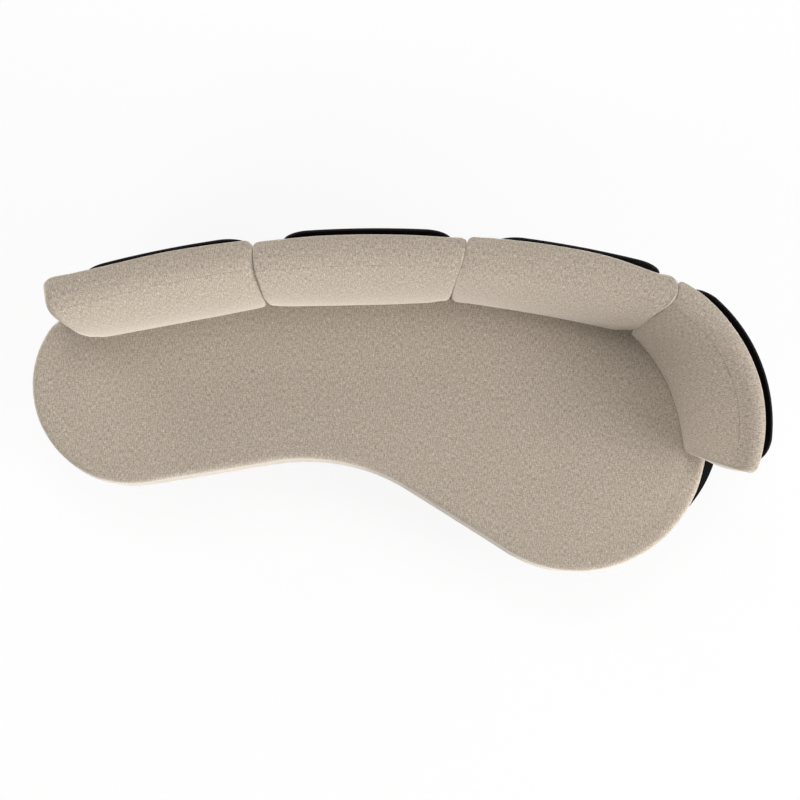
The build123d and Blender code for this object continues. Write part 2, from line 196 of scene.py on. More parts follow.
# Cloth: the layers that hold the weave's place and the painted shade along the seams, sizes of slubs, grain, flecks
# and yarn, the shares that make up its pattern and that painted shade, and its tones in linear colour, the seams'
# painted shade among them
WEAVE_MAP = "weave"
SEAM_SHADE = "painted_seam_shade"
SLUB_LENGTH = 0.018
SLUB_WIDTH = 0.0042
GRAIN_SIZE = 0.0040
FLECK_SIZE = 0.0070
PALE_LENGTH = 1.6
DEEP_LENGTH = 1.3
YARN_PITCH = 0.0026
WARP_PLACE = (3.1, 7.7, 0)
WEFT_SHARE, WARP_SHARE, GRAIN_SHARE = 0.25, 0.40, 0.35
# The last share is how strongly painted shade darkens the seams' folds
PALE_SHARE, DEEP_SHARE, SEAM_SHADE_SHARE = 0.8, 0.7, 0.15
PALE_STOPS = (0.68, 0.73)
DEEP_STOPS = (0.27, 0.32)
TONE_STOPS = (0.37, 0.50, 0.63)
WEAVE_HEIGHT, YARN_HEIGHT = 0.25, 2.0
CLOTH_DARK = (0.225, 0.192, 0.154, 1)
CLOTH_MIDDLE = (0.434, 0.366, 0.294, 1)
CLOTH_LIGHT = (0.660, 0.572, 0.470, 1)
FLECK_LIGHT = (0.80, 0.72, 0.60, 1)
FLECK_DARK = (0.175, 0.168, 0.160, 1)
# Painted shade: the tone that darkens the seams' folds, standing in for the shade that falls in them
SEAM_SHADE_TONE = (0.20, 0.17, 0.135, 1)
NAP_TINT = (1.0, 0.94, 0.86, 1)
WHITE = (1, 1, 1, 1)
BLACK = (0, 0, 0, 1)

# Powder coat, plastic and steel: the scales of their grain, and its ramps' stops
COAT_GRAIN, COAT_CLOUD = 700.0, 9.0
COAT_TONES = ((0.35, (0.0028, 0.0028, 0.0030, 1)), (0.65, (0.0046, 0.0046, 0.0048, 1)))
COAT_ROUGHNESS = (0.42, 0.58)
PAD_GRAIN = 900.0
PAD_TONES = ((0.0, (0.010, 0.010, 0.010, 1)), (1.0, (0.018, 0.018, 0.018, 1)))
BOLT_WEAR = 260.0
BOLT_TONES = ((0.45, (0.03, 0.03, 0.03, 1)), (0.75, (0.22, 0.21, 0.20, 1)))

# Lamps: large soft squares round the sofa, as (bearing, elevation, level), and the even light from all round
LAMP_DISTANCE = 16.0
LAMP_SIZE = 8.0
LAMP_POWER = 2528.0
LAMPS = {
    "key": (340, 12, 1.04),
    "front": (315, 12, 0.36),
    "side": (0, 30, 0.28),
    "left": (135, 12, 0.56),
    "fill": (225, 30, 0.44),
    "rear": (90, 55, 0.34),
}
WORLD_LEVEL = 0.03
# Floor: half its width, how far it lies below the feet, how much of it glows, and where that grows to the whole
FLOOR_HALF = 40
FLOOR_DROP = 0.0005
FLOOR_TONE = (0.95, 0.95, 0.95, 1)
FLOOR_GLOW = 0.88
FLOOR_FADE = (3.5, 8.0)

# Camera: straight down from above the middle of the photograph
CAMERA_PLACE = (0.040, 0.027, 5.87)
CAMERA_LENS = 54.7
SENSOR_WIDTH = 36.0


def cad_solid(name):
    """A CAD node's corners and triangles, with the copies of shared corners merged."""
    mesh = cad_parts[name].data
    mesh.calc_loop_triangles()
    corners = np.array([vertex.co for vertex in mesh.vertices])
    merged, order = np.unique(np.round(corners, MERGE_DIGITS), axis=0, return_inverse=True)
    triangles = order.reshape(-1)[np.array([face.vertices for face in mesh.loop_triangles])]
    whole = [len(set(triangle)) == 3 for triangle in triangles.tolist()]
    return merged, triangles[whole]


def cut_loop(corners, triangles, point, normal):
    """The closed loop of points in which a plane cuts a solid."""
    side = (corners - point) @ normal
    above = side > 0
    links = {}
    for triangle in triangles[np.ptp(above[triangles].astype(int), axis=1) > 0].tolist():
        ends = []
        for start, end in zip(triangle, triangle[1:] + triangle[:1]):
            if above[start] != above[end]:
                ends.append((min(start, end), max(start, end)))
        links.setdefault(ends[0], []).append(ends[1])
        links.setdefault(ends[1], []).append(ends[0])
    first = min(links)
    order = [first, links[first][0]]
    while order[-1] != first:
        order.append(next(edge for edge in links[order[-1]] if edge != order[-2]))
    points = []
    for start, end in order[:-1]:
        share = side[start] / (side[start] - side[end])
        points.append(corners[start] + share * (corners[end] - corners[start]))
    return np.array(points)


def spaced(points, count):
    """A polyline's points moved to even spacing, with count steps between them."""
    steps = np.linalg.norm(np.diff(points, axis=0), axis=1)
    along = np.concatenate(([0], np.cumsum(steps)))
    wanted = np.linspace(0, along[-1], count + 1)
    return np.column_stack([np.interp(wanted, along, points[:, axis]) for axis in range(points.shape[1])])


def section_ring(section):
    """A section's outline as even points up the front, back over the top, down the rear and forward below."""
    dense = spaced(np.vstack([section, section[:1]]), SECTION_STEPS)[:-1]
    if np.sum(dense[:, 0] * np.roll(dense[:, 1], -1) - dense[:, 1] * np.roll(dense[:, 0], -1)) > 0:
        dense = dense[::-1]
    marks = [int(np.argmax(dense @ np.array(corner))) for corner in SECTION_CORNERS]
    dense = np.roll(dense, -marks[0], axis=0)
    marks = [(mark - marks[0]) % len(dense) for mark in marks] + [len(dense)]
    closed = np.vstack([dense, dense[:1]])
    cells = (BACK_HIGH_CELLS, BACK_DEEP_CELLS, BACK_HIGH_CELLS, BACK_DEEP_CELLS)
    sides = [spaced(closed[low:high + 1], n)[:-1] for low, high, n in zip(marks, marks[1:], cells)]
    return np.vstack(sides)


def end_face(corners, triangles, axis, outward):
    """A point on a cushion's flat end and the bearing of the end's plane. outward is the end's turn: -1 or 1."""
    a, b, c = (corners[triangles[:, i]] for i in range(3))
    normals = np.cross(b - a, c - a)
    areas = np.linalg.norm(normals, axis=1)
    normals = normals / areas[:, None]
    middles = (a + b + c) / 3 - np.array((*axis, 0))
    tangents = np.column_stack([-middles[:, 1], middles[:, 0]]) / np.hypot(middles[:, 0], middles[:, 1])[:, None]
    facing = outward * np.sum(normals[:, :2] * tangents, axis=1)
    groups = {}
    for index in np.flatnonzero(facing > END_FACING):
        groups.setdefault(tuple(np.round(normals[index], 2)), []).append(index)
    flat = max(groups.values(), key=lambda members: areas[members].sum())
    normal = outward * normals[flat].mean(axis=0)
    return a[flat[0]], degrees(atan2(-normal[0], normal[1]))


class Arc:
    """The line that a back cushion runs along, with an upright section plane at each share from -1 to 1."""

    def __init__(self, corners, triangles, axis, radius):
        self.axis = np.array(axis)
        self.radius = radius
        self.ends = []
        self.turns = []
        for outward in (-1, 1):
            point, plane_bearing = end_face(corners, triangles, axis, outward)
            bearing = plane_bearing
            for _ in range(BEARING_ROUNDS):
                out = np.array((cos(radians(plane_bearing)), sin(radians(plane_bearing))))
                across = np.array((-out[1], out[0]))
                here = self.axis + radius * np.array((cos(radians(bearing)), sin(radians(bearing))))
                bearing += degrees((point[:2] - here) @ across / radius)
            self.ends.append(bearing)
            self.turns.append(plane_bearing - bearing)
        self.middle = sum(self.ends) / 2
        self.half = (self.ends[1] - self.ends[0]) / 2
        self.length = radians(2 * self.half) * radius

    def plane(self, share):
        """The section's origin on the arc, its outward axis and its normal."""
        bearing = radians(self.middle + share * self.half)
        turned = bearing + radians(self.turns[int(share > 0)] * share * share)
        origin = self.axis + self.radius * np.array((cos(bearing), sin(bearing)))
        out = np.array((cos(turned), sin(turned), 0))
        return np.array((*origin, 0)), out, np.array((-out[1], out[0], 0))

    def share_at(self, distance):
        """The share at a distance along the arc from its first end."""
        return 2 * distance / self.length - 1


def faired_rings(corners, triangles, arc):
    """Coefficients of smooth curves, one for each point of the ring, that give (x, z) by share along the arc."""
    margin = 2 * BACK_SLICE_MARGIN / arc.length
    shares = np.linspace(-1 + margin, 1 - margin, BACK_SLICES)
    rings = []
    for share in shares:
        origin, out, normal = arc.plane(share)
        loop = cut_loop(corners, triangles, origin, normal)
        rings.append(section_ring(np.column_stack([(loop - origin) @ out, loop[:, 2]])))
    flat = np.array(rings).reshape(BACK_SLICES, -1)
    return np.polyfit(shares, flat, FAIRING_DEGREE)


def inset_ring(ring, distance):
    """A ring drawn in towards its middle, so that its sides come in by a distance."""
    low, high = ring.min(axis=0), ring.max(axis=0)
    return (low + high) / 2 + (ring - (low + high) / 2) * (1 - 2 * distance / (high - low))


def end_profile(rounding):
    """(distance from the end, how far the section is drawn in) round the cushion's end, from its cap inwards."""
    angles = [pi / 2 * step / BACK_END_STEPS for step in range(BACK_END_STEPS + 1)]
    return [(rounding * (1 - cos(angle)), rounding * (1 - sin(angle))) for angle in angles]


def eased(value):
    """A smooth step from 0 to 1."""
    held = np.clip(value, 0, 1)
    return held * held * (3 - 2 * held)


def between(points, faded, full):
    """How far each (depth, height) is from a place where something has faded to one where it is full."""
    shares = [eased((points[:, axis] - faded[axis]) / (full[axis] - faded[axis])) for axis in (0, 1)]
    return shares[0] * shares[1]


def softened(ring, belly):
    """A section's ring with its ridge eased into a wide roll and its front filled out to a belly."""
    steps = np.abs(np.arange(len(ring)) - BACK_HIGH_CELLS)
    pull = 0.5 * eased(1 - steps / RIDGE_REACH)[:, None]
    for _ in range(RIDGE_PASSES):
        ring = ring + pull * ((np.roll(ring, 1, axis=0) + np.roll(ring, -1, axis=0)) / 2 - ring)
    climb = np.clip(np.arange(len(ring)) / BACK_HIGH_CELLS, 0, 1)
    return ring - np.column_stack([belly * np.sin(pi * climb), np.zeros(len(ring))])


def filled_ring(ring, back, arc, distance):
    """A section's ring with its foot and crest filled out, at a distance along the arc."""
    foot = np.interp(distance, (0, arc.length), back.foot_reach)
    crest = between(ring, CREST_FADED, CREST_FULL)
    rear = eased((ring[:, 0] - CREST_FADED[0]) / (CREST_FULL[0] - CREST_FADED[0]))
    depth = back.crest_reach * crest - foot * between(ring, FOOT_FADED, FOOT_FULL)
    for end, gap in zip(back.ends, (distance, arc.length - distance)):
        depth += end.flare * eased(1 - gap / FLARE_FADE) * (crest if end.flare > 0 else rear)
    return softened(ring + np.column_stack([depth, np.zeros(len(ring))]), back.belly)


def rounded_corner(gap, radius):
    """How far a corner's round draws back at a gap from the side that it rounds into."""
    across = np.clip(radius - gap, 0, radius)
    return radius - np.sqrt(radius * radius - across * across)


def end_shift(back, arc, distance, depths, span):
    """How far along the arc the filling pushes points, by their depths in a section that spans some depths."""
    bulging = np.cos(np.clip((depths - BULGE_MIDDLE) / BULGE_HALF, -1, 1) * pi / 2) ** 2
    leaning = np.clip((depths - LEAN_DEPTHS[0]) / (LEAN_DEPTHS[1] - LEAN_DEPTHS[0]), 0, 1)
    shift = np.zeros(len(depths))
    for outward, end, gap in ((-1, back.ends[0], distance), (1, back.ends[1], arc.length - distance)):
        filled = end.reach + end.bulge * bulging + end.lean * leaning
        filled -= rounded_corner(depths - span[0], end.corner) + rounded_corner(span[1] - depths, end.rear_corner)
        shift += outward * eased(1 - gap / END_FADE) * filled
    return shift


def end_cap(ring):
    """The inner points of the patch that closes an end, in rows from the front to the rear."""
    high, deep = BACK_HIGH_CELLS, BACK_DEEP_CELLS
    front = ring[:high + 1]
    top = ring[high:high + deep + 1]
    rear = ring[high + deep:2 * high + deep + 1][::-1]
    below = np.vstack([ring[2 * high + deep:], ring[:1]])[::-1]
    rows = []
    for i in range(1, deep):
        u = i / deep
        row = []
        for j in range(1, high):
            v = j / high
            sides = (1 - u) * front[j] + u * rear[j] + (1 - v) * below[i] + v * top[i]
            corners = (1 - u) * ((1 - v) * front[0] + v * front[-1]) + u * ((1 - v) * rear[0] + v * rear[-1])
            row.append(sides - corners)
        rows.append(row)
    return np.array(rows)


def back_stations(back, arc):
    """(distance along the arc, inset) of each ring of the cover, from one end's cap to the other's."""
    first, last = (end_profile(end.edge) for end in back.ends)
    room = arc.length - first[-1][0] - last[-1][0]
    inner = first[-1][0] + np.linspace(0, room, round(room / BACK_CELL) + 1)[1:-1]
    outer = [(arc.length - distance, inset) for distance, inset in reversed(last)]
    return first + [(distance, 0) for distance in inner] + outer


def back_mesh(name):
    """A back cushion's cover as a grid of cells, with rows of vertices along its seams.

    Returns the new piece, the vertices of its seams (the ridge and the edge of each free end), and those that the
    filling doesn't move (the crest and the ends).
    """
    back = BACKS[name]
    corners, triangles = cad_solid(name)
    arc = Arc(corners, triangles, back.axis, back.radius)
    curves = faired_rings(corners, triangles, arc)
    stations = back_stations(back, arc)
    made = bmesh.new()
    weave = made.loops.layers.uv.new(WEAVE_MAP)
    rings, sections = [], []
    for distance, inset in stations:
        share = arc.share_at(distance)
        flat = sum(row * share ** power for power, row in enumerate(curves[::-1]))
        full = filled_ring(flat.reshape(-1, 2), back, arc, distance)
        section = inset_ring(full, inset)
        span = full[:, 0].min(), full[:, 0].max()
        origin, out, normal = arc.plane(share)
        points = origin + np.outer(section[:, 0], out) + np.outer(section[:, 1], (0, 0, 1))
        points += np.outer(end_shift(back, arc, distance, section[:, 0], span), normal)
        rings.append([made.verts.new(point) for point in points])
        sections.append((section, span))
    middle = sections[len(sections) // 2][0]
    girth = np.cumsum(np.linalg.norm(np.roll(middle, -1, axis=0) - middle, axis=1))
    girth = np.concatenate(([0], girth))
    steps = np.linalg.norm(np.diff(np.array(stations), axis=0), axis=1)
    length = np.concatenate(([0], np.cumsum(steps)))
    for u, u_after, low, high in zip(length, length[1:], rings, rings[1:]):
        for i, (v, v_after) in enumerate(zip(girth, girth[1:])):
            after = (i + 1) % len(low)
            face = made.faces.new((low[i], low[after], high[after], high[i]))
            for loop, spot in zip(face.loops, ((u, v), (u, v_after), (u_after, v_after), (u_after, v))):
                loop[weave].uv = spot
    caps = []
    for end, outward in ((0, -1), (-1, 1)):
        grid = cap_grid(made, rings[end], *sections[end], back, arc, outward)
        caps += [vertex for row in grid for vertex in row]
        origin, out, _ = arc.plane(outward)
        for row, next_row in zip(grid, grid[1:]):
            for square in zip(row, next_row, next_row[1:], row[1:]):
                face = made.faces.new(square[::outward])
                for loop in face.loops:
                    loop[weave].uv = ((np.array(loop.vert.co) - origin) @ out, loop.vert.co.z)
    bmesh.ops.recalc_face_normals(made, faces=made.faces)
    made.verts.index_update()
    seams = [ring[BACK_HIGH_CELLS].index for ring in rings[SEAM_STOP:-SEAM_STOP]]
    seams += [vertex.index for end in (0, -1) for vertex in rings[end] if back.ends[end].crown]
    still = [ring[BACK_HIGH_CELLS + BACK_DEEP_CELLS].index for ring in rings]
    still += [vertex.index for vertex in caps]
    return as_object(made, f"{name}_cover"), seams, still


def cap_grid(made, ring, section, span, back, arc, outward):
    """The vertices of an end's patch, edge and middle, as columns from the front to the rear."""
    high, deep = BACK_HIGH_CELLS, BACK_DEEP_CELLS
    grid = [[None] * (high + 1) for _ in range(deep + 1)]
    for j in range(high + 1):
        grid[0][j] = ring[j]
        grid[deep][j] = ring[(2 * high + deep - j) % len(ring)]
    origin, out, normal = arc.plane(outward)
    distance = arc.length if outward > 0 else 0
    for i, column in enumerate(end_cap(section), start=1):
        grid[i][high] = ring[high + i]
        grid[i][0] = ring[-i]
        shifts = end_shift(back, arc, distance, column[:, 0], span)
        for j, ((depth, height), shift) in enumerate(zip(column, shifts), start=1):
            dome = sin(pi * i / deep) * sin(pi * j / high) * back.ends[outward > 0].crown
            spot = origin + depth * out + (shift + outward * dome) * normal
            grid[i][j] = made.verts.new(spot + np.array((0, 0, height)))
    return grid


def as_object(made, name):
    """A new smooth-shaded object made of a bmesh, which is freed."""
    mesh = bpy.data.meshes.new(name)
    made.to_mesh(mesh)
    made.free()
    mesh.polygons.foreach_set("use_smooth", [True] * len(mesh.polygons))
    piece = bpy.data.objects.new(name, mesh)
    bpy.context.scene.collection.objects.link(piece)
    return piece


def points_of(mesh):
    """A mesh's vertices, as rows of (x, y, z)."""
    found = np.empty(len(mesh.vertices) * 3, np.float32)
    mesh.vertices.foreach_get("co", found)
    return found.reshape(-1, 3).astype(float)


def set_points(mesh, points):
    """Moves a mesh's vertices to rows of (x, y, z)."""
    mesh.vertices.foreach_set("co", points.astype(np.float32).ravel())
    mesh.update()


def normals_of(mesh):
    """The normals at a mesh's vertices."""
    found = np.empty(len(mesh.vertices) * 3, np.float32)
    mesh.vertex_normals.foreach_get("vector", found)
    return found.reshape(-1, 3).astype(float)


def apply_modifiers(piece):
    """The piece's mesh with its modifiers worked in."""
    seen = piece.evaluated_get(bpy.context.evaluated_depsgraph_get())
    mesh = bpy.data.meshes.new_from_object(seen)
    piece.modifiers.clear()
    old = piece.data
    piece.data = mesh
    bpy.data.meshes.remove(old)


def neighbour_tree(name):
    """A search tree of every other CAD node."""
    made = bmesh.new()
    for other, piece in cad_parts.items():
        if other != name:
            made.from_mesh(piece.data)
    tree = BVHTree.FromBMesh(made)
    made.free()
    return tree


def room_round(points, name, most):
    """How far each point may move before it meets a neighbour half way."""
    tree = neighbour_tree(name)
    room = np.full(len(points), most)
    for index, point in enumerate(points):
        distance = tree.find_nearest(point, most / ROOM_SHARE)[3]
        if distance is not None:
            room[index] = ROOM_SHARE * distance
    return room


def swell(piece, name, grips, cap):
    """Blows a cover up as cloth, within the room it has. grips holds each vertex back, from 0, free, to 1, still."""
    target = points_of(piece.data)
    room = room_round(target, name, cap)
    set_points(piece.data, target - normals_of(piece.data) * (DRAW_IN * (1 - grips))[:, None])
    group = piece.vertex_groups.new(name="grip")
    for grip in np.unique(grips[grips > 0]):
        group.add(np.flatnonzero(grips == grip).tolist(), float(grip), "REPLACE")
    cloth = piece.modifiers.new("swell", "CLOTH")
    cloth.settings.quality = CLOTH_QUALITY
    cloth.settings.mass = CLOTH_MASS
    cloth.settings.tension_stiffness = CLOTH_STRETCH
    cloth.settings.compression_stiffness = CLOTH_STRETCH
    cloth.settings.shear_stiffness = CLOTH_SHEAR
    cloth.settings.bending_stiffness = CLOTH_BENDING
    cloth.settings.vertex_group_mass = group.name
    cloth.settings.use_pressure = True
    cloth.settings.uniform_pressure_force = SWELL_PRESSURE
    cloth.settings.effector_weights.gravity = 0
    cloth.collision_settings.use_collision = False
    for moment in range(1, SWELL_FRAMES + 1):
        bpy.context.scene.frame_set(moment)
    apply_modifiers(piece)
    piece.vertex_groups.clear()
    bpy.context.scene.frame_set(1)
    moved = points_of(piece.data) - target
    distance = np.linalg.norm(moved, axis=1)
    set_points(piece.data, target + moved * np.minimum(1, room / np.maximum(distance, TINY))[:, None])


def refine(piece, seams):
    """Halves the cover's cells, and returns the indices of its seams' vertices after that."""
    group = piece.vertex_groups.new(name="seams")
    group.add([int(index) for index in seams], 1.0, "REPLACE")
    finer = piece.modifiers.new("finer", "SUBSURF")
    finer.levels = finer.render_levels = 1
    apply_modifiers(piece)
    weights = np.zeros(len(piece.data.vertices))
    for vertex in piece.data.vertices:
        if vertex.groups:
            weights[vertex.index] = vertex.groups[0].weight
    piece.vertex_groups.clear()
    return np.flatnonzero(weights > FULL_WEIGHT)


def open_crevice(piece, seams):
    """Cuts a narrow fold along the seams, marks its floor for painted shade in the cloth's colour, and returns a search
    tree of the places they run through.
    """
    made = bmesh.new()
    made.from_mesh(piece.data)
    made.verts.ensure_lookup_table()
    line = KDTree(len(seams))
    for order, index in enumerate(seams):
        line.insert(made.verts[index].co, order)
    line.balance()
    painted_seam_shade = {int(index) for index in seams}
    edges = [edge for edge in made.edges if all(vertex.index in painted_seam_shade for vertex in edge.verts)]
    bmesh.ops.bevel(made, geom=edges, offset=CREVICE_HALF, offset_type="OFFSET", segments=2, profile=0.5,
                    affect="EDGES", clamp_overlap=True)
    made.normal_update()
    # The fold's floor is marked for painted shade, which darkens the cloth's colour there as the shade in the fold
    # would
    shade = made.verts.layers.float.new(SEAM_SHADE)
    for vertex in made.verts:
        if line.find(vertex.co)[2] < CREVICE_HALF / 2:
            vertex.co -= vertex.normal * CREVICE_DEPTH
            vertex[shade] = 1.0
    made.to_mesh(piece.data)
    made.free()
    piece.data.polygons.foreach_set("use_smooth", [True] * len(piece.data.polygons))
    return line


def sew(piece, line, room):
    """Draws the cover in beside its seams, puckers it there and lets it wander a little, within its room."""
    points = points_of(piece.data)
    offsets = np.zeros(len(points))
    for index, point in enumerate(points):
        offsets[index] = WANDER_HEIGHT * noise.noise(Vector(point) / WANDER_LENGTH)
        gap = line.find(point)[2]
        if gap < PUCKER_REACH:
            offsets[index] += PUCKER_DEPTH * (1 - gap / PUCKER_REACH) * noise.noise(Vector(point) / PUCKER_LENGTH)
        if gap < SEAM_REACH:
            offsets[index] -= SEAM_DEPTH * (1 - gap / SEAM_REACH)
    set_points(piece.data, points + normals_of(piece.data) * np.minimum(offsets, room)[:, None])


def finish_cover(piece, name, line):
    """Sews a cover's seams and gives it its cloth and its body."""
    sew(piece, line, room_round(points_of(piece.data), name, FINISH_ROOM))
    piece.data.materials.clear()
    piece.data.materials.append(CLOTH)
    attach(piece, name)
    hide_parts(name)


def dress_back(name):
    """A back cushion's cover, with a seam along its ridge and one round each free end."""
    piece, seams, still = back_mesh(name)
    points = points_of(piece.data)
    facing_down = normals_of(piece.data)[:, 2] < FACING_DOWN
    resting = np.flatnonzero((points[:, 2] < points[:, 2].min() + RESTING_HEIGHT) | facing_down)
    grips = np.zeros(len(points))
    grips[np.concatenate([seams, still, resting])] = 1
    swell(piece, name, grips, BACK_SWELL_CAP)
    finish_cover(piece, name, open_crevice(piece, refine(piece, seams)))


def on_solid(piece, name, fullness):
    """Lays a cover on its CAD solid, a little outside it, except where it rests."""
    made = bmesh.new()
    made.from_mesh(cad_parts[name].data)
    bmesh.ops.remove_doubles(made, verts=made.verts, dist=MERGE_DISTANCE)
    solid = BVHTree.FromBMesh(made)
    made.free()
    points = np.array([solid.find_nearest(point)[0] for point in points_of(piece.data)])
    set_points(piece.data, points)
    normals = normals_of(piece.data)
    set_points(piece.data, points + normals * np.where(normals[:, 2] < SEAT_FACING_DOWN, 0, fullness)[:, None])


def beside_outline(points, name):
    """How far in from a cushion's side each point is, seen from above, and the directions out through the side."""
    corners, triangles = cad_solid(name)
    low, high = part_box(name)
    side = cut_loop(corners, triangles, np.array((0, 0, (low.z + high.z) / 2)), np.array((0, 0, 1.0)))
    side = spaced(np.vstack([side, side[:1]]), OUTLINE_STEPS)[:-1, :2]
    after = np.roll(side, -1, axis=0)
    turn = np.sign(np.sum(side[:, 0] * after[:, 1] - side[:, 1] * after[:, 0]))
    along = after - np.roll(side, 1, axis=0)
    along *= turn / np.linalg.norm(along, axis=1)[:, None]
    tree = KDTree(len(side))
    for index, spot in enumerate(side):
        tree.insert((*spot, 0), index)
    tree.balance()
    nearest = np.array([tree.find((x, y, 0))[1] for x, y, _ in points])
    out = np.column_stack([along[nearest, 1], -along[nearest, 0]])
    return np.sum((side[nearest] - points[:, :2]) * out, axis=1), out


def rolled_rim(sections, middle, top):
    """(distance in, height) pairs moved out, away from the middle of the side, to a rim with a tight roll."""
    centre = np.array((RIM_REACH, middle))
    corner = np.array((RIM_CORNER[0], top))
    inward = np.array((1, -RIM_LEAN)) / hypot(1, RIM_LEAN)
    heading = sections - centre
    reach = np.minimum((corner - centre) @ inward / (heading @ inward), (top - middle) / heading[:, 1])
    hub = corner + RIM_RADIUS * np.array((hypot(1, RIM_LEAN) - RIM_LEAN, -1))
    hits = centre + reach[:, None] * heading
    rolls = (hits[:, 0] < hub[0]) & (hits[:, 1] > hub[1] - RIM_RADIUS * inward[1])
    a = np.sum(heading * heading, axis=1)
    b = 2 * heading @ (centre - hub)
    c = np.sum((centre - hub) ** 2) - RIM_RADIUS ** 2
    round_reach = (-b + np.sqrt(np.maximum(b * b - 4 * a * c, 0))) / (2 * a)
    return centre + np.maximum(np.where(rolls, round_reach, reach), 1)[:, None] * heading


def evened(points, shares, reach):
    """Each point's share lowered to a mean, over a reach, of the least that the points round it have."""
    tree = KDTree(len(points))
    for index, point in enumerate(points):
        tree.insert(point, index)
    tree.balance()
    near = [[index for _, index, _ in tree.find_range(point, reach)] for point in points]
    least = np.array([shares[spots].min() for spots in near])
    return np.array([least[spots].mean() for spots in near])


def fill_rim(piece, name):
    """Fills a cushion's rim out, from the solid's wide slopes to a tight roll, within the room that it has."""
    points = points_of(piece.data)
    low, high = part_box(name)
    middle = (low.z + high.z) / 2
    inside, out = beside_outline(points, name)
    at_rim = np.flatnonzero((inside < RIM_REACH) & (points[:, 2] > middle))
    sections = np.column_stack([inside, points[:, 2]])[at_rim]
    moved = rolled_rim(sections, middle, high.z + RIM_CORNER[1]) - sections
    moved *= (eased((RIM_REACH - sections[:, 0]) / RIM_FADE) * eased((sections[:, 1] - middle) / RIM_FADE))[:, None]
    moves = np.column_stack([-moved[:, :1] * out[at_rim], moved[:, 1]])
    length = np.maximum(np.linalg.norm(moves, axis=1), TINY)
    room = room_round(points[at_rim], name, RIM_ROOM)
    points[at_rim] += moves * evened(points[at_rim], np.minimum(1, room / length), RIM_EVENING)[:, None]
    set_points(piece.data, points)


def dress_seat():
    """The seat's cover: one soft form over the deck, with a seam low on its side."""
    name = "seat_cushion"
    made = bmesh.new()
    made.from_mesh(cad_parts[name].data)
    bmesh.ops.remove_doubles(made, verts=made.verts, dist=MERGE_DISTANCE)
    piece = as_object(made, "seat_cushion_cover")
    remesh = piece.modifiers.new("cells", "REMESH")
    remesh.mode = "VOXEL"
    remesh.voxel_size = SEAT_VOXEL
    remesh.use_smooth_shade = True
    smooth = piece.modifiers.new("soften", "SMOOTH")
    smooth.iterations = SEAT_SMOOTHING
    smooth.factor = SMOOTHING_FACTOR
    apply_modifiers(piece)
    on_solid(piece, name, SEAT_FULLNESS)
    points = points_of(piece.data)
    grips = np.full(len(points), SEAT_GRIP)
    grips[points[:, 2] < points[:, 2].min() + SEAT_RESTING_HEIGHT] = 1
    swell(piece, name, grips, SEAT_SWELL_CAP)
    refine(piece, [])
    fill_rim(piece, name)
    made = bmesh.new()
    made.from_mesh(piece.data)
    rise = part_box(name)[0].z + SEAT_SEAM_RISE
    bmesh.ops.bisect_plane(made, geom=[*made.verts, *made.edges, *made.faces], dist=ON_PLANE,
                           plane_co=(0, 0, rise), plane_no=(0, 0, 1))
    lay_weave(made)
    made.verts.index_update()
    seams = [vertex.index for vertex in made.verts if abs(vertex.co.z - rise) < ON_PLANE]
    made.to_mesh(piece.data)
    made.free()
    finish_cover(piece, name, open_crevice(piece, seams))


def lay_weave(made):
    """Lays the weave flat on a cushion's top and foot, and upright round its side."""
    weave = made.loops.layers.uv.new(WEAVE_MAP)
    for face in made.faces:
        flat = abs(face.normal.z) > LEVEL_FACING
        along_x = abs(face.normal.y) > abs(face.normal.x)
        for loop in face.loops:
            x, y, z = loop.vert.co
            loop[weave].uv = (x, y) if flat else (x, z) if along_x else (y, z)


def node(tree, kind, inputs=None, **settings):
    """A new shader node with its settings, and its inputs set to values or linked to sockets."""
    made = tree.nodes.new(kind)
    for name, value in settings.items():
        setattr(made, name, value)
    for socket, value in (inputs or {}).items():
        if isinstance(value, bpy.types.NodeSocket):
            tree.links.new(value, made.inputs[socket])
        else:
            made.inputs[socket].default_value = value
    return made


def new_material(name):
    """A new material, with its node tree and its main shader."""
    material = bpy.data.materials.new(name)
    material.use_nodes = True
    tree = material.node_tree
    return material, tree, tree.nodes["Principled BSDF"]


def streaks(tree, where, length, width, detail=2.0):
    """Noise drawn out along the cloth's first direction to a length and a width."""
    scaled = node(tree, "ShaderNodeMapping", {"Vector": where, "Scale": (1 / length, 1 / width, 1)})
    return node(tree, "ShaderNodeTexNoise", {"Vector": scaled.outputs[0], "Scale": 1.0, "Detail": detail,
                                             "Roughness": 0.6}).outputs[0]


def ramp(tree, value, stops):
    """A colour ramp through (place, colour) stops."""
    stops = list(stops)
    made = node(tree, "ShaderNodeValToRGB", {"Fac": value})
    elements = made.color_ramp.elements
    while len(elements) < len(stops):
        elements.new(0.5)
    for element, (spot, colour) in zip(elements, stops):
        element.position = spot
        element.color = colour
    return made.outputs["Color"]


def mixed(tree, share, first, second):
    """A share of the second colour mixed into the first."""
    return node(tree, "ShaderNodeMix", {"Factor": share, 6: first, 7: second}, data_type="RGBA").outputs[2]


def maths(tree, operation, first, second=0.0):
    """The result of a maths node."""
    return node(tree, "ShaderNodeMath", {0: first, 1: second}, operation=operation).outputs[0]


